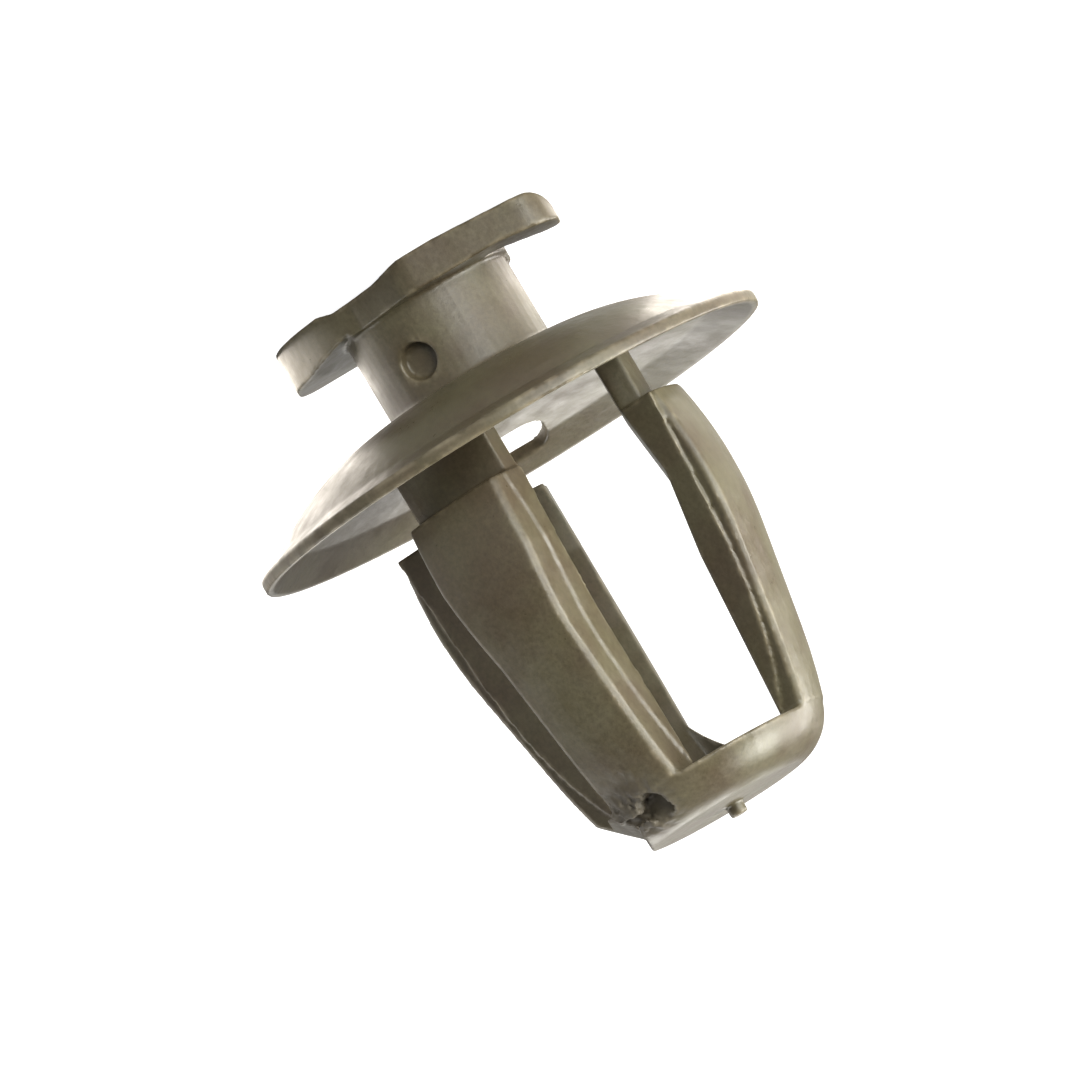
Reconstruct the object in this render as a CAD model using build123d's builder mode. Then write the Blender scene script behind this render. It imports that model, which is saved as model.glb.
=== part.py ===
from build123d import *
import math
import os

# Mud flap clip: one moulding. It stands on the flat outer face of its head, with the nose up.
# All sizes are in millimetres. The axis of the clip is Z, and the head's outer face is at zero.

# Head: a flat S-shaped plate, with one wing toward -X and one lobe toward +X
head_length = 9.9
head_width = 7.6
head_thickness = 1.42
head_waist_margin = 0.15
head_dip_depth = 0.18
head_dip_start = 0.2
head_dip_length = 3.0
wing_width = 2.9
wing_root_width = 1.7
wing_end_reach = 0.25
wing_end_radius = 1.3
wing_front_radius = 1.1
wing_back_radius = 0.5
wing_tip_drop = 0.9
wing_slope_start = 1.2
wing_slope_drop = 0.2
wing_slope_end = 0.7
wing_root_relief = 0.26
lobe_end_width = 1.35
lobe_bulge = 0.85
lobe_corner_radius = 0.75
lobe_root_relief = 0.33
lobe_root_reach = 2.6
lobe_ramp_angle = 4.0

# Neck: a round post between the head and the flange, with a moulded pit in its side
neck_diameter = 5.75
neck_length = 2.8
neck_root_bevel = 0.15
neck_pit_diameter = 1.2
neck_pit_depth = 0.45
neck_pit_rise = 1.25
neck_pit_azimuth = -66.0

# Flange: a thin springy dish that opens toward the nose
flange_diameter = 18.0
flange_height = 2.4
crown_diameter = 8.4
crown_bulge = 0.25
skirt_width = 0.76
skirt_height = 0.7
rim_lip = 0.4
dish_wall = 0.95
dish_ceiling_diameter = 9.4
dish_rim_inset = 0.22
dish_bevel_width = 1.25
dish_bevel_height = 0.72
slot_length = 2.2
slot_width = 2.0
slot_reach = 8.0
slot_shift = 0.1
slot_corner_radius = 0.6

# Cage: three springy barbed legs between the flange and the nose
cage_length = 11.75
leg_neck_diameter = 9.36
leg_neck_width = 3.7
shoulder_drop = 0.94
shoulder_diameter = 11.04
barb_diameter = 11.56
barb_drop = 3.3
flank_diameter = 11.08
flank_drop = 6.1
heel_diameter = 9.84
heel_drop = 9.43
leg_bore_at_neck = 6.95
leg_bore_at_barb = 7.45
leg_bore_at_flank = 6.6
leg_bore_at_foot = 5.75
strip_at_barb = 0.7
strip_at_flank = 0.95
strip_ledge = 0.08
strip_ledge_angle = 3.0
wide_leg_angle = 65.5
narrow_leg_width = 3.9
narrow_leg_flank_width = 3.2
narrow_leg_foot_width = 2.9
leg_edge_bevel = 0.16
foot_ledge = 0.05
foot_web_width = 1.5
foot_web_height = 2.0
foot_web_sag = 0.17
foot_web_wall = 0.6
foot_web_inset = 0.1
foot_web_root = 0.2
wide_leg_azimuths = (59.0, 180.0)
narrow_leg_azimuth = -60.0

# Nose: a shallow round cup that ties the feet of the legs together
nose_rim_diameter = 8.56
nose_height = 1.36
nose_flat_diameter = 5.5
nose_wall = 0.95
nose_floor = 0.7
nose_pit_diameter = 1.05
nose_pit_depth = 0.7
nose_pit_drop = 0.55
nose_slit_width = 0.3
nose_slit_length = 1.7
nose_trim_reach = 4.2
nose_trim_drop = 0.63
nose_trim_end = 2.75
nose_trim_depth = 0.75
gate_stub_diameter = 0.6
gate_stub_height = 0.42
gate_stub_offset = 0.4

# Levels and radii that follow from the sizes above
crown_level = head_thickness + neck_length
rim_level = crown_level + flange_height
ceiling_level = crown_level + dish_wall
seat_level = crown_level + dish_wall / 2
shoulder_level = rim_level + shoulder_drop
barb_level = rim_level + barb_drop
flank_level = rim_level + flank_drop
heel_level = rim_level + heel_drop
nose_rim_level = rim_level + cage_length
nose_level = nose_rim_level + nose_height
neck_radius = neck_diameter / 2
waist_radius = neck_radius + head_waist_margin
rim_radius = flange_diameter / 2
cage_reach = barb_diameter / 2 + strip_ledge


def round_corner(sketch, corner, radius):
    """Round the corner of the sketch that lies nearest to a point."""
    fillet(sketch.vertices().sort_by_distance((*corner, 0))[0], radius=radius)


def wing_sketch():
    """The wing toward -X: a bar across the front with a narrower root."""
    front = -head_width / 2
    tip = -head_length / 2
    on_waist = waist_radius * math.sqrt(0.5)
    with BuildSketch() as wing:
        with BuildLine():
            Polyline(
                (wing_end_reach, front),
                (tip, front),
                (tip, front + wing_width),
                (-on_waist, front + wing_root_width),
                (0, 0),
                (on_waist, -on_waist),
                close=True,
            )
        make_face()
        round_corner(wing, (wing_end_reach, front), wing_end_radius)
        round_corner(wing, (tip, front), wing_front_radius)
        round_corner(wing, (tip, front + wing_width), wing_back_radius)
    return wing.sketch


def lobe_sketch():
    """The lobe toward +X: its front bulges in one curve from the waist to the tip."""
    back = head_width / 2
    tip = head_length / 2
    on_waist = waist_radius * math.sqrt(0.5)
    with BuildSketch() as lobe:
        with BuildLine():
            SagittaArc((on_waist, -on_waist), (tip, back - lobe_end_width), -lobe_bulge)
            Polyline(
                (tip, back - lobe_end_width),
                (tip, back),
                (0, back),
                (-on_waist, on_waist),
                (on_waist, -on_waist),
            )
        make_face()
        round_corner(lobe, (tip, back), lobe_corner_radius)
    return lobe.sketch


def head_sketch():
    """The S-shaped plate seen along the axis."""
    with BuildSketch() as outline:
        add(wing_sketch())
        add(lobe_sketch())
        Circle(waist_radius)
    return outline.sketch


def wing_relief_sketch():
    """What the front leaves out: a round over the wing's tip and a slope under its root."""
    tip = -head_length / 2
    root_level = head_thickness - wing_root_relief
    with BuildSketch(Plane.XZ) as cut:
        with BuildLine():
            slope = Line((-wing_slope_start, 0), (tip + wing_slope_end, wing_slope_drop))
            TangentArc(slope @ 1, (tip, wing_tip_drop), tangent=slope % 1)
            Polyline((tip, wing_tip_drop), (tip, 0), (-wing_slope_start, 0))
        make_face()
        with BuildLine():
            Polyline(
                (tip, head_thickness),
                (lobe_root_reach, head_thickness),
                (lobe_root_reach, root_level),
                (-neck_radius, root_level),
                close=True,
            )
        make_face()
    return cut.sketch


def lobe_ramp_plane():
    """The lobe's underside: thin at the front of its root, full at its back."""
    tip = head_length / 2
    rise = lobe_root_relief / (tip - neck_radius)
    lean = math.tan(math.radians(lobe_ramp_angle))
    return Plane(
        origin=(neck_radius, -neck_radius / 2, head_thickness - lobe_root_relief),
        x_dir=(1, 0, rise),
        z_dir=(-rise, -lean, 1),
    )


def head_dip_sketch():
    """A shallow dip across the head's outer face."""
    ramp = head_dip_length / 3
    with BuildSketch(Plane.XZ) as dip:
        with BuildLine():
            Polyline(
                (head_dip_start, 0),
                (head_dip_start + ramp, head_dip_depth),
                (head_dip_start + head_dip_length - ramp / 2, head_dip_depth),
                (head_dip_start + head_dip_length, 0),
                close=True,
            )
        make_face()
    return dip.sketch


def dish_sketch():
    """Half of the dish's section: a crown, a bulged skirt and a thin lip."""
    crown_radius = crown_diameter / 2
    skirt_radius = rim_radius - skirt_width
    skirt_level = rim_level - skirt_height
    bulge_radius = (crown_radius + skirt_radius) / 2 + crown_bulge / 2
    bulge_level = (crown_level + skirt_level) / 2 - crown_bulge
    bevel_radius = rim_radius - dish_rim_inset - dish_bevel_width
    with BuildSketch(Plane.XZ) as section:
        with BuildLine():
            Line((0, crown_level), (crown_radius, crown_level))
            ThreePointArc(
                (crown_radius, crown_level),
                (bulge_radius, bulge_level),
                (skirt_radius, skirt_level),
            )
            Polyline(
                (skirt_radius, skirt_level),
                (rim_radius, rim_level - rim_lip),
                (rim_radius, rim_level),
                (rim_radius - dish_rim_inset, rim_level),
                (bevel_radius, rim_level - dish_bevel_height),
                (dish_ceiling_diameter / 2, ceiling_level),
                (0, ceiling_level),
                (0, crown_level),
            )
        make_face()
    return section.sketch


def cage_sketch():
    """Half of the cage's outer form: a neck, a square shoulder, a barb and a long flank."""
    neck = leg_neck_diameter / 2
    flank = (flank_diameter / 2, flank_level)
    heel = (heel_diameter / 2, heel_level)
    foot = (nose_rim_diameter / 2 + foot_ledge, nose_rim_level)
    with BuildSketch(Plane.XZ) as section:
        with BuildLine():
            Polyline(
                (0, nose_rim_level),
                (0, seat_level),
                (neck, seat_level),
                (neck, shoulder_level),
                (shoulder_diameter / 2, shoulder_level),
            )
            ThreePointArc(
                (shoulder_diameter / 2, shoulder_level),
                (barb_diameter / 2, barb_level),
                flank,
            )
            side = Line(flank, heel)
            TangentArc(heel, foot, tangent=side % 1)
            Line(foot, (0, nose_rim_level))
        make_face()
    return section.sketch


def bore_points():
    """The flat inner face of a leg, from the foot up to the shoulder."""
    return [
        (leg_bore_at_foot / 2, nose_rim_level),
        (leg_bore_at_flank / 2, flank_level),
        (leg_bore_at_barb / 2, barb_level),
        (leg_bore_at_neck / 2, shoulder_level),
    ]


def bore_sketch():
    """The room inside the cage, as a leg's flat inner face leaves it."""
    with BuildSketch(Plane.XZ) as side:
        with BuildLine():
            Polyline(
                *bore_points(),
                (-cage_reach, shoulder_level),
                (-cage_reach, nose_rim_level),
                close=True,
            )
        make_face()
    return side.sketch


def strip_sketch():
    """The inner part of a leg seen from its side: a strip that backs the barb."""
    foot, flank, barb, neck = bore_points()
    shoulder = (leg_neck_diameter / 2 - strip_ledge, shoulder_level)
    with BuildSketch(Plane.XZ) as side:
        with BuildLine():
            Polyline(foot, flank, barb, neck, shoulder)
            Spline(
                shoulder,
                (barb[0] + strip_at_barb, barb_level),
                (flank[0] + strip_at_flank, flank_level),
                foot,
            )
        make_face()
    return side.sketch


def sector_cutter(angle):
    """A wedge about the axis, as high as the barb, that gives a leg radial sides."""
    with BuildPart() as cutter:
        with BuildSketch(Plane.XY.offset(shoulder_level)):
            with BuildLine():
                edge = PolarLine((0, 0), 2 * cage_reach, -angle / 2)
                other = PolarLine((0, 0), 2 * cage_reach, angle / 2)
                Line(edge @ 1, other @ 1)
            make_face()
        extrude(amount=nose_rim_level - shoulder_level)
    return cutter.part


def slab_cutter(ledge):
    """A tapering slab that gives a leg parallel sides, narrower by the ledge on each side."""
    full = narrow_leg_width / 2 - ledge
    flank = narrow_leg_flank_width / 2 - ledge
    foot = narrow_leg_foot_width / 2 - ledge
    with BuildPart() as cutter:
        with BuildSketch(Plane.YZ):
            with BuildLine():
                corners = Polyline(
                    (0, shoulder_level),
                    (full, shoulder_level),
                    (full, barb_level),
                    (flank, flank_level),
                    (foot, nose_rim_level),
                    (0, nose_rim_level),
                )
                mirror(corners, about=Plane.YZ)
            make_face()
        extrude(amount=cage_reach)
    return cutter.part


def rises(edge):
    """Whether an edge runs up or down rather than around."""
    return abs((edge @ 0).Z - (edge @ 1).Z) > leg_edge_bevel


def make_leg(barb_cutter, strip_cutter):
    """One leg toward +X: a neck, and a barb on a slightly wider inner strip."""
    with BuildPart() as barb:
        revolve(cage_sketch(), axis=Axis.Z)
        add(barb_cutter, mode=Mode.INTERSECT)
        extrude(bore_sketch(), amount=cage_reach, both=True, mode=Mode.SUBTRACT)
        outer_faces = barb.faces().filter_by(GeomType.PLANE, reverse=True)
        chamfer([edge for edge in outer_faces.edges() if rises(edge)], length=leg_edge_bevel)
    with BuildPart() as leg:
        extrude(strip_sketch(), amount=cage_reach, both=True)
        add(strip_cutter, mode=Mode.INTERSECT)
        add(barb.part)
        with BuildSketch(Plane.XY.offset(seat_level)):
            Circle(leg_neck_diameter / 2)
            Rectangle(leg_neck_diameter, leg_neck_width, mode=Mode.INTERSECT)
            with Locations((leg_bore_at_neck / 2, 0)):
                Rectangle(
                    leg_neck_diameter,
                    leg_neck_width,
                    align=(Align.MAX, Align.CENTER),
                    mode=Mode.SUBTRACT,
                )
        extrude(amount=shoulder_level - seat_level)
    return leg.part


def nose_sketch():
    """Half of the nose cup's section, with its flat end and hollow inside."""
    rim = nose_rim_diameter / 2
    flat = nose_flat_diameter / 2
    slope = Vector(nose_rim_diameter - heel_diameter, 2 * (cage_length - heel_drop))
    with BuildSketch(Plane.XZ) as section:
        with BuildLine():
            TangentArc((rim, nose_rim_level), (flat, nose_level), tangent=slope)
            Polyline(
                (flat, nose_level),
                (0, nose_level),
                (0, nose_level - nose_floor),
                (flat - nose_wall / 2, nose_level - nose_floor),
                (rim - nose_wall, nose_rim_level),
                (rim, nose_rim_level),
            )
        make_face()
    return section.sketch


def nose_trim_sketch():
    """The corner that is trimmed off the nose on its +X side."""
    start = (nose_trim_reach, nose_rim_level - nose_trim_drop)
    end = (nose_trim_end, nose_rim_level + nose_trim_depth)
    with BuildSketch(Plane.XZ) as corner:
        with BuildLine():
            Polyline(
                start,
                end,
                (nose_trim_end, nose_level + nose_height),
                (cage_reach, nose_level + nose_height),
                (cage_reach, nose_rim_level - 2 * nose_trim_drop),
                close=True,
            )
        make_face()
    return corner.sketch


def side_plane(azimuth, radius, level):
    """A plane that faces outward at the azimuth, at that radius and level."""
    turned = Plane.XY.rotated((0, 0, azimuth))
    outward = turned.x_dir
    return Plane(
        origin=outward * radius + Vector(0, 0, level),
        x_dir=turned.y_dir,
        z_dir=outward,
    )


def make_foot_web():
    """The curved web in the corner between a wide leg's side and the nose's rim."""
    outer = nose_rim_diameter / 2 - foot_web_inset
    with BuildPart() as web:
        with BuildSketch(side_plane(wide_leg_angle / 2, 0, nose_rim_level)):
            with BuildLine():
                curve = SagittaArc((0, -foot_web_height), (foot_web_width, 0), foot_web_sag)
                Polyline(
                    curve @ 1,
                    (foot_web_width, foot_web_root),
                    (-foot_web_width, foot_web_root),
                    (-foot_web_width, -foot_web_height),
                    curve @ 0,
                )
            make_face()
        extrude(amount=cage_reach)
        with BuildSketch(Plane.XY.offset(nose_rim_level - foot_web_height)):
            Circle(outer)
            Circle(outer - foot_web_wall, mode=Mode.SUBTRACT)
        extrude(amount=foot_web_height + foot_web_root, mode=Mode.INTERSECT)
    return web.part


wide_leg = make_leg(
    sector_cutter(wide_leg_angle),
    sector_cutter(wide_leg_angle + strip_ledge_angle),
)
narrow_leg = make_leg(slab_cutter(strip_ledge), slab_cutter(0))
foot_web = make_foot_web()

with BuildPart() as mud_flap_clip:
    # Head
    extrude(head_sketch(), amount=head_thickness)
    extrude(wing_relief_sketch(), amount=head_width, mode=Mode.SUBTRACT)
    with BuildSketch(lobe_ramp_plane()):
        with Locations((lobe_root_reach - neck_radius, 0)):
            Rectangle(
                head_length,
                2 * head_width,
                align=(Align.MIN, Align.CENTER),
            )
    extrude(amount=head_thickness, mode=Mode.SUBTRACT)
    extrude(head_dip_sketch(), amount=head_width, both=True, mode=Mode.SUBTRACT)
    # Neck
    with BuildSketch(Plane.XY.offset(head_thickness / 2)):
        Circle(neck_radius)
    extrude(amount=head_thickness / 2 + neck_length + dish_wall / 2)
    # Flange, with a small bevel where the neck stands on its crown
    revolve(dish_sketch(), axis=Axis.Z)
    chamfer(
        mud_flap_clip.edges().filter_by_position(Axis.Z, crown_level, crown_level).sort_by(
            SortBy.LENGTH
        )[0],
        length=neck_root_bevel,
    )
    with BuildSketch(Plane.XY.offset(crown_level)):
        with Locations((-slot_shift, slot_reach - slot_width / 2)):
            RectangleRounded(slot_length, slot_width, slot_corner_radius)
    extrude(amount=flange_height, mode=Mode.SUBTRACT)
    # Nose
    revolve(nose_sketch(), axis=Axis.Z)
    with BuildSketch(Plane.XY.offset(nose_level - nose_floor / 2)):
        with Locations((-gate_stub_offset / 2, gate_stub_offset)):
            Circle(gate_stub_diameter / 2)
    extrude(amount=nose_floor / 2 + gate_stub_height)
    # Cage
    for leg_azimuth in wide_leg_azimuths:
        add(wide_leg, rotation=(0, 0, leg_azimuth))
    add(narrow_leg, rotation=(0, 0, narrow_leg_azimuth))
    add(foot_web, rotation=(0, 0, wide_leg_azimuths[0]))
    # Trimmed corner of the nose, and the pits that the mould's pins leave
    extrude(nose_trim_sketch(), amount=cage_reach, both=True, mode=Mode.SUBTRACT)
    with BuildSketch(side_plane(narrow_leg_azimuth, cage_reach, nose_rim_level + nose_pit_drop)):
        Circle(nose_pit_diameter / 2)
        with Locations((nose_slit_length / 2, 0)):
            Rectangle(nose_slit_length, nose_slit_width)
    extrude(
        amount=-(cage_reach - nose_rim_diameter / 2 + nose_pit_depth),
        mode=Mode.SUBTRACT,
    )
    with BuildSketch(side_plane(neck_pit_azimuth, neck_radius, crown_level - neck_pit_rise)):
        Circle(neck_pit_diameter / 2)
    extrude(amount=-neck_pit_depth, both=True, mode=Mode.SUBTRACT)

os.makedirs("parts", exist_ok=True)
mud_flap_clip.part.label = "mud_flap_clip"
export_step(mud_flap_clip.part, "parts/mud_flap_clip.step")
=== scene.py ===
import math

import bpy
import numpy as np
from mathutils import Matrix, Vector, noise


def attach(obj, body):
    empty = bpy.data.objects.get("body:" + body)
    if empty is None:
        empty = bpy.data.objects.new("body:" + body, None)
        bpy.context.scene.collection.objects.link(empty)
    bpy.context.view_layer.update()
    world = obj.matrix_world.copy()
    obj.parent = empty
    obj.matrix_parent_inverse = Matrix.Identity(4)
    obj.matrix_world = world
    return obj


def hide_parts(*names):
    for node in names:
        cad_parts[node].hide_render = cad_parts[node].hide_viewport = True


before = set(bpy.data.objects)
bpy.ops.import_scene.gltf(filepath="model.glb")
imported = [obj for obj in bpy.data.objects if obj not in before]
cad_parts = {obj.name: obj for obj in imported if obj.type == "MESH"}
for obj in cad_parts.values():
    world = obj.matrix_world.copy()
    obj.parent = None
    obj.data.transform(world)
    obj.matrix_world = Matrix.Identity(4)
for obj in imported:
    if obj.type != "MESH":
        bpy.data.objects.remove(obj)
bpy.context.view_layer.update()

MM = 0.001
NODE = "mud_flap_clip"

# The moulding's mesh: its voxels in millimetres, how it is relaxed, and the most triangles
# that it may have
VOXEL = 0.06
RELAX_SHARE = 0.5
RELAX_ROUNDS = 6
MOST_TRIANGLES = 180000

# Paler convex edges, partly wear and partly a painted highlight along the edges: rounds of
# spreading, and the bend, per millimetre, where the paling starts and where it is full
WEAR_AND_HIGHLIGHT_SPREAD = 3
WEAR_AND_HIGHLIGHT_FROM = 0.5
WEAR_AND_HIGHLIGHT_FULL = 3.0

# The torn plastic at the foot of the front leg, in millimetres: its middle, reach and depth,
# and for each of its two waves how many there are to the millimetre and how strong they are
TEAR_AT = Vector((2.9, -3.8, 19.2))
TEAR_REACH = 1.9
TEAR_DEPTH = 0.13
TEAR_COARSE = (2.6, 1.4)
TEAR_FINE = (7.0, 0.7)

# The shallow pit in the neck, which has a soft rim, in millimetres
NECK_PIT_AT = (1.17, -2.63, 2.97)
NECK_PIT_REACH = 1.1
SOFTENING_ROUNDS = 6

# With 2, an effect around a point is full up to half its reach and fades from there on
FADE = 2.0

# The plastic's colours, and how much of the pale edge colour (partly wear, partly a painted
# highlight) and of the torn one shows at most
BROWN = (0.063, 0.048, 0.030, 1.0)
OLIVE = (0.079, 0.069, 0.041, 1.0)
# The next colour is the pale one of convex edges: partly wear and partly a painted highlight
WORN_AND_HIGHLIGHT = (0.24, 0.205, 0.145, 1.0)
TORN = (0.040, 0.033, 0.025, 1.0)
MOST_WORN_AND_HIGHLIGHT = 0.50
MOST_TORN = 0.75

# How rough the plastic is where it shines most and least, and what the specks and tears add
ROUGHNESS = (0.30, 0.48)
SPECK_ROUGHNESS = 0.05
TORN_ROUGHNESS = 0.30
REFRACTION = 1.52

# The bumps in the plastic, in millimetres: a fine grain and slow waves
GRAIN_HEIGHT = 0.012
WAVE_HEIGHT = 0.05

# The floor, in metres, and the sky's glow, which is weak in front of the clip and stronger
# behind it
FLOOR_RADIUS = 3.0
FLOOR_SIDES = 96
FLOOR_GREY = (0.3, 0.3, 0.3, 1.0)
FLOOR_ROUGHNESS = 0.9
FLOOR_GLOW = 0.05
SKY_FRONT = -0.3
SKY_BACK = 0.5
SKY_GLOW = (0.02, 0.25)
WHITE = (1.0, 1.0, 1.0, 1.0)

# The lights, in metres: all stand equally far from a point inside the clip
LIGHT_AIM = Vector((0.0, 0.0, 0.010))
LIGHT_DISTANCE = 0.40
LIGHT_SIZE = 0.20

# The glowing panels, in millimetres: how far behind the clip's axis their middles lie, and
# how far above the floor
PANEL_SIZE = (20.0, 26.0)
PANEL_BACK = 11.0
PANEL_LIFT = 0.1
PANEL_COLOUR = (1.0, 0.92, 0.83)

# The camera: the width that it sees, how far off it stands, its rise toward the nose, the
# share of the clip's side and of its axis in the picture's rightward direction, the level on
# the axis that it looks at, and how far the picture's middle lies right of and below it
VIEW_WIDTH = 33.96 * MM
DISTANCE = 0.60
SENSOR = 36.0
ELEVATION = math.radians(5.7)
ROLL_SIDE = 0.857
ROLL_DOWN = 0.514
AIM_LEVEL = 6.66 * MM
AIM_RIGHT = 0.805 * MM
AIM_DOWN = 2.770 * MM
NEAREST = 0.01
FARTHEST = 20.0


# Nodes for the materials

def add(tree, kind, **values):
    """A shader node with some of its settings and inputs set."""
    node = tree.nodes.new(kind)
    for key, value in values.items():
        if key in node.inputs.keys():
            node.inputs[key].default_value = value
        else:
            setattr(node, key, value)
    return node


def noise_at(tree, coords, scale, detail=3.0, rough=0.55):
    """Noise with its features 1 / scale millimetres across."""
    node = add(tree, "ShaderNodeTexNoise", Scale=scale, Detail=detail, Roughness=rough)
    tree.links.new(coords, node.inputs["Vector"])
    return node.outputs["Fac"]


def ramp(tree, value, low, high, to_low=0.0, to_high=1.0):
    """Stretch a value from one range to another."""
    node = add(tree, "ShaderNodeMapRange")
    node.inputs["From Min"].default_value = low
    node.inputs["From Max"].default_value = high
    node.inputs["To Min"].default_value = to_low
    node.inputs["To Max"].default_value = to_high
    tree.links.new(value, node.inputs["Value"])
    return node.outputs["Result"]


def maths(tree, operation, first, second):
    """Two values, each a socket or a number, put together by an operation."""
    node = add(tree, "ShaderNodeMath", operation=operation)
    for place, value in enumerate((first, second)):
        if isinstance(value, (int, float)):
            node.inputs[place].default_value = value
        else:
            tree.links.new(value, node.inputs[place])
    return node.outputs["Value"]


def blend_colours(tree, share, first, second, mode="MIX"):
    """Mix two colours, each a socket or a tuple."""
    node = add(tree, "ShaderNodeMix", data_type="RGBA", blend_type=mode)
    if isinstance(share, float):
        node.inputs[0].default_value = share
    else:
        tree.links.new(share, node.inputs[0])
    for place, colour in ((6, first), (7, second)):
        if isinstance(colour, tuple):
            node.inputs[place].default_value = colour
        else:
            tree.links.new(colour, node.inputs[place])
    return node.outputs[2]


def stored(tree, name):
    """A value that the mesh holds at each vertex."""
    return add(tree, "ShaderNodeAttribute", attribute_name=name).outputs["Fac"]


def clip_material():
    """Brown-olive moulded plastic, half glossy, with a fine grain and paler edges, partly worn and
    partly a painted highlight.
    """
    material = bpy.data.materials.new("clip_plastic")
    material.use_nodes = True
    tree = material.node_tree
    tree.nodes.clear()
    link = tree.links.new
    where = add(tree, "ShaderNodeTexCoord").outputs["Object"]
    to_mm = add(tree, "ShaderNodeMapping")
    to_mm.inputs["Scale"].default_value = (1 / MM, 1 / MM, 1 / MM)
    link(where, to_mm.inputs["Vector"])
    coords = to_mm.outputs["Vector"]

    # Colour: brown and olive clouds, fine specks, paler on convex edges (partly wear, partly a
    # painted highlight) and darker where torn
    clouds = noise_at(tree, coords, scale=0.35, detail=4.0)
    specks = noise_at(tree, coords, scale=7.0, detail=4.0, rough=0.7)
    colour = blend_colours(tree, ramp(tree, clouds, 0.38, 0.62), BROWN, OLIVE)
    shade = ramp(tree, specks, 0.3, 0.7, 0.80, 1.18)
    shades = add(tree, "ShaderNodeCombineColor")
    for channel in ("Red", "Green", "Blue"):
        link(shade, shades.inputs[channel])
    colour = blend_colours(tree, 1.0, colour, shades.outputs["Color"], "MULTIPLY")
    # Painted highlight: the pale colour on convex edges stands partly for wear and partly for the
    # light that the edges catch
    edge = stored(tree, "edge_wear_and_highlight")
    patches = noise_at(tree, coords, scale=1.3, detail=3.0)
    worn_and_highlight = maths(tree, "MULTIPLY", edge, ramp(tree, patches, 0.42, 0.66, 0.0, MOST_WORN_AND_HIGHLIGHT))
    colour = blend_colours(tree, worn_and_highlight, colour, WORN_AND_HIGHLIGHT)
    torn = stored(tree, "torn")
    colour = blend_colours(tree, maths(tree, "MULTIPLY", torn, MOST_TORN), colour, TORN)

    # Gloss: satin, with duller patches, and duller still where torn
    smudges = noise_at(tree, coords, scale=0.9, detail=3.0)
    gloss = ramp(tree, smudges, 0.3, 0.7, *ROUGHNESS)
    speck_gloss = ramp(tree, specks, 0.3, 0.7, -SPECK_ROUGHNESS, SPECK_ROUGHNESS)
    gloss = maths(tree, "ADD", gloss, speck_gloss)
    gloss = maths(tree, "ADD", gloss, maths(tree, "MULTIPLY", torn, TORN_ROUGHNESS))

    # Bumps: a fine grain on slow waves
    grain = noise_at(tree, coords, scale=9.0, detail=3.0, rough=0.6)
    flow = noise_at(tree, coords, scale=1.1, detail=2.0, rough=0.5)
    bump = add(tree, "ShaderNodeBump", Strength=0.35, Distance=GRAIN_HEIGHT * MM)
    link(grain, bump.inputs["Height"])
    waves = add(tree, "ShaderNodeBump", Strength=0.5, Distance=WAVE_HEIGHT * MM)
    link(flow, waves.inputs["Height"])
    link(bump.outputs["Normal"], waves.inputs["Normal"])

    shader = add(tree, "ShaderNodeBsdfPrincipled")
    shader.inputs["IOR"].default_value = REFRACTION
    link(colour, shader.inputs["Base Color"])
    link(gloss, shader.inputs["Roughness"])
    link(waves.outputs["Normal"], shader.inputs["Normal"])
    out = add(tree, "ShaderNodeOutputMaterial")
    link(shader.outputs["BSDF"], out.inputs["Surface"])
    return material


# The moulding's mesh

def apply_modifiers(piece):
    """Turn the piece's modifiers into its mesh."""
    depsgraph = bpy.context.evaluated_depsgraph_get()
    shape = bpy.data.meshes.new_from_object(piece.evaluated_get(depsgraph))
    piece.modifiers.clear()
    piece.data = shape


def places_and_edges(mesh):
    """The vertices' places, the edges' first and second ends, and each vertex's edge count."""
    places = np.empty(3 * len(mesh.vertices))
    mesh.vertices.foreach_get("co", places)
    ends = np.empty(2 * len(mesh.edges), dtype=np.int64)
    mesh.edges.foreach_get("vertices", ends)
    touching = np.bincount(ends, minlength=len(mesh.vertices))
    first, second = ends.reshape(-1, 2).T
    return places.reshape(-1, 3), first, second, touching


def mean_around(value, first, second, touching):
    """For each vertex, the mean of a value over the vertices next to it."""
    count = len(value)
    around = np.bincount(first, value[second], count) + np.bincount(second, value[first], count)
    return around / touching


# This mask paints the convex edges paler: partly wear, partly a painted highlight
def edge_wear_and_highlight(piece):
    """Store how strongly the surface bends outward at each vertex, from 0 to 1."""
    mesh = piece.data
    places, first, second, touching = places_and_edges(mesh)
    count = len(places)
    normals = np.empty(3 * count)
    mesh.vertex_normals.foreach_get("vector", normals)
    normals = normals.reshape(-1, 3)
    step = places[first] - places[second]
    bend = ((normals[first] - normals[second]) * step).sum(axis=1) / (step ** 2).sum(axis=1)
    value = (np.bincount(first, bend, count) + np.bincount(second, bend, count)) / touching
    for _ in range(WEAR_AND_HIGHLIGHT_SPREAD):
        value = (value + mean_around(value, first, second, touching)) / 2
    value = np.clip((value - WEAR_AND_HIGHLIGHT_FROM) / (WEAR_AND_HIGHLIGHT_FULL - WEAR_AND_HIGHLIGHT_FROM), 0.0, 1.0)
    mesh.attributes.new("edge_wear_and_highlight", "FLOAT", "POINT").data.foreach_set("value", value)


def soften(piece, middle, reach):
    """Even out the surface around a point, as in a pit without a sharp rim."""
    mesh = piece.data
    places, first, second, touching = places_and_edges(mesh)
    away = np.sqrt(((places - np.array(middle)) ** 2).sum(axis=1))
    share = np.clip(FADE * (1.0 - away / reach), 0.0, 1.0)
    for _ in range(SOFTENING_ROUNDS):
        for axis in range(3):
            old = places[:, axis]
            around = mean_around(old, first, second, touching)
            places[:, axis] = old + share * (around - old)
    mesh.vertices.foreach_set("co", places.ravel())
    mesh.update()


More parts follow.
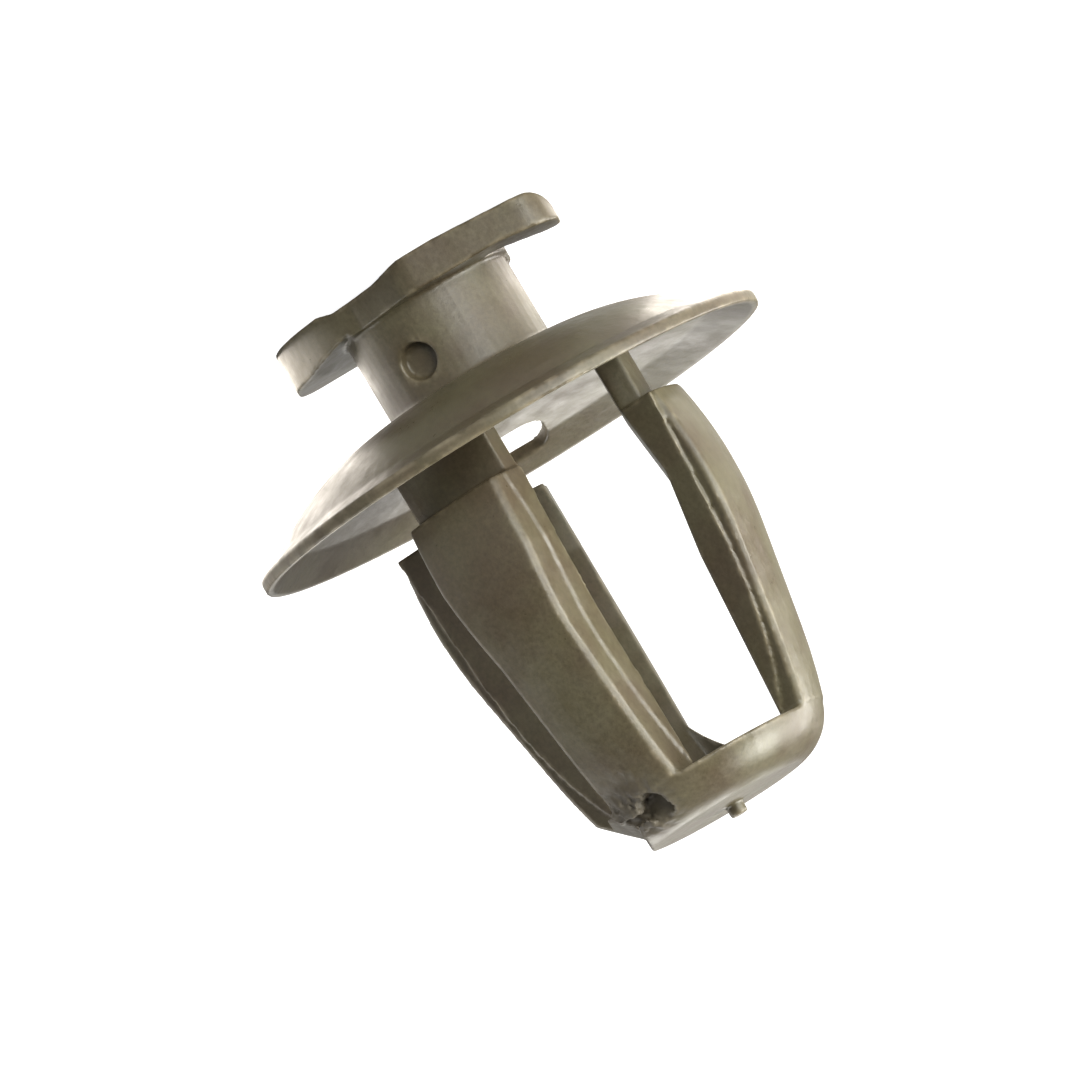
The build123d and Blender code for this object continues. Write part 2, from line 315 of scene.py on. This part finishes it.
def tear_foot(piece):
    """Roughen the plastic where the foot of the front leg meets the nose, and store where."""
    torn = piece.data.attributes.new("torn", "FLOAT", "POINT").data
    coarse_scale, coarse_depth = TEAR_COARSE
    fine_scale, fine_depth = TEAR_FINE
    for vertex in piece.data.vertices:
        near = 1.0 - (vertex.co - TEAR_AT).length / TEAR_REACH
        if near > 0.0:
            share = min(1.0, FADE * near)
            coarse = noise.noise(vertex.co * coarse_scale)
            fine = noise.noise(vertex.co * fine_scale)
            push = coarse_depth * coarse + fine_depth * fine
            vertex.co += vertex.normal * (TEAR_DEPTH * share * push)
            torn[vertex.index].value = share


def moulded_copy():
    """The CAD solid's surface, remeshed so that each edge has the small round of a moulding.

    The work is done at a scale of one unit to the millimetre.
    """
    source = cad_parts[NODE]
    mesh = source.data.copy()
    mesh.transform(Matrix.Scale(1 / MM, 4) @ source.matrix_world)
    piece = bpy.data.objects.new("clip_moulding", mesh)
    bpy.context.scene.collection.objects.link(piece)
    remesh = piece.modifiers.new("remesh", "REMESH")
    remesh.mode = "VOXEL"
    remesh.voxel_size = VOXEL
    relax = piece.modifiers.new("relax", "SMOOTH")
    relax.factor = RELAX_SHARE
    relax.iterations = RELAX_ROUNDS
    apply_modifiers(piece)
    count = sum(len(face.vertices) - 2 for face in piece.data.polygons)
    thin = piece.modifiers.new("thin", "DECIMATE")
    thin.ratio = min(1.0, MOST_TRIANGLES / count)
    apply_modifiers(piece)
    soften(piece, NECK_PIT_AT, NECK_PIT_REACH)
    edge_wear_and_highlight(piece)
    tear_foot(piece)
    piece.data.transform(Matrix.Scale(MM, 4))
    for face in piece.data.polygons:
        face.use_smooth = True
    return piece


# The floor, the light and the camera

def floor_material():
    """Matt grey, but to the camera it glows, so that it stays white to the horizon."""
    material = bpy.data.materials.new("floor_white")
    material.use_nodes = True
    tree = material.node_tree
    shader = tree.nodes["Principled BSDF"]
    shader.inputs["Base Color"].default_value = FLOOR_GREY
    shader.inputs["Roughness"].default_value = FLOOR_ROUGHNESS
    shader.inputs["Specular IOR Level"].default_value = 0.0
    shader.inputs["Emission Color"].default_value = WHITE
    seen = add(tree, "ShaderNodeLightPath").outputs["Is Camera Ray"]
    glow = ramp(tree, seen, 0.0, 1.0, FLOOR_GLOW, 1.0)
    tree.links.new(glow, shader.inputs["Emission Strength"])
    return material


def add_floor():
    """A large round floor at the level the clip stands on."""
    mesh = bpy.data.meshes.new("floor")
    turns = [2 * math.pi * side / FLOOR_SIDES for side in range(FLOOR_SIDES)]
    points = [(FLOOR_RADIUS * math.cos(turn), FLOOR_RADIUS * math.sin(turn), 0.0) for turn in turns]
    mesh.from_pydata(points, [], [tuple(range(FLOOR_SIDES))])
    floor = bpy.data.objects.new("floor", mesh)
    bpy.context.scene.collection.objects.link(floor)
    mesh.materials.append(floor_material())
    floor.visible_shadow = False


def add_light(name, direction, power, colour):
    """A square soft light that faces the clip from one direction."""
    data = bpy.data.lights.new(name, "AREA")
    data.shape = "SQUARE"
    data.size = LIGHT_SIZE
    data.energy = power
    data.color = colour
    light = bpy.data.objects.new(name, data)
    light.location = LIGHT_AIM + Vector(direction).normalized() * LIGHT_DISTANCE
    light.rotation_euler = (LIGHT_AIM - light.location).to_track_quat("-Z", "Y").to_euler()
    bpy.context.scene.collection.objects.link(light)


def add_panel(name, across, brightness):
    """A panel that glows upward from the floor, and lights the outer side of the dish."""
    data = bpy.data.lights.new(name, "AREA")
    data.shape = "RECTANGLE"
    data.size = PANEL_SIZE[0] * MM
    data.size_y = PANEL_SIZE[1] * MM
    data.energy = brightness * math.pi * data.size * data.size_y
    data.color = PANEL_COLOUR
    panel = bpy.data.objects.new(name, data)
    panel.location = (across * MM, PANEL_BACK * MM, PANEL_LIFT * MM)
    panel.rotation_euler = (math.pi, 0.0, 0.0)
    bpy.context.scene.collection.objects.link(panel)


def add_sky():
    """White to the camera, and to the clip a weak glow that grows toward the back."""
    world = bpy.data.worlds.new("studio")
    bpy.context.scene.world = world
    world.use_nodes = True
    sky = world.node_tree
    direction = add(sky, "ShaderNodeSeparateXYZ")
    generated = add(sky, "ShaderNodeTexCoord").outputs["Generated"]
    sky.links.new(generated, direction.inputs["Vector"])
    glow = ramp(sky, direction.outputs["Y"], SKY_FRONT, SKY_BACK, *SKY_GLOW)
    seen = add(sky, "ShaderNodeLightPath").outputs["Is Camera Ray"]
    background = sky.nodes["Background"]
    sky.links.new(maths(sky, "MAXIMUM", glow, seen), background.inputs["Strength"])
    background.inputs["Color"].default_value = WHITE


def add_camera():
    """The camera stands before -Y, a little toward the nose, and has a long lens.

    It is rolled until the nose points down and to the right.
    """
    away = Vector((0.0, -math.cos(ELEVATION), math.sin(ELEVATION)))
    across = Vector((-1.0, 0.0, 0.0))
    along = Vector((0.0, math.sin(ELEVATION), math.cos(ELEVATION)))
    right = across * ROLL_SIDE + along * ROLL_DOWN
    up = across * ROLL_DOWN - along * ROLL_SIDE
    right.normalize()
    up.normalize()
    aim = Vector((0.0, 0.0, AIM_LEVEL)) + right * AIM_RIGHT - up * AIM_DOWN
    data = bpy.data.cameras.new("camera")
    data.sensor_width = SENSOR
    data.lens = SENSOR * DISTANCE / VIEW_WIDTH
    data.clip_start = NEAREST
    data.clip_end = FARTHEST
    camera = bpy.data.objects.new("camera", data)
    place = Matrix((
        (right.x, up.x, away.x, 0.0),
        (right.y, up.y, away.y, 0.0),
        (right.z, up.z, away.z, 0.0),
        (0.0, 0.0, 0.0, 1.0),
    ))
    place.translation = aim + away * DISTANCE
    camera.matrix_world = place
    bpy.context.scene.collection.objects.link(camera)
    bpy.context.scene.camera = camera


piece = moulded_copy()
piece.data.materials.clear()
piece.data.materials.append(clip_material())
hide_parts(NODE)
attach(piece, "root")

add_floor()
add_light("right_behind", (-0.80, 0.42, 0.42), 1.3, (1.0, 0.97, 0.92))
add_light("left_behind", (0.85, 0.45, 0.20), 0.3, (1.0, 0.95, 0.88))
add_light("right", (-0.88, -0.40, 0.26), 1.7, (1.0, 0.99, 0.92))
add_light("right_below", (-0.62, -0.10, 0.78), 2.4, (1.0, 0.99, 0.90))
add_light("left_below", (0.80, 0.00, 0.60), 0.8, (1.0, 0.98, 0.93))
add_light("high_behind", (0.15, 0.80, 0.58), 0.5, (1.0, 0.98, 0.92))
add_light("front", (-0.50, -0.86, -0.10), 2.0, (1.0, 0.99, 0.90))
add_panel("panel_left", 15.0, 3.8)
add_panel("panel_right", -18.0, 5.2)
add_sky()
add_camera()
bpy.context.scene.view_settings.view_transform = "Standard"
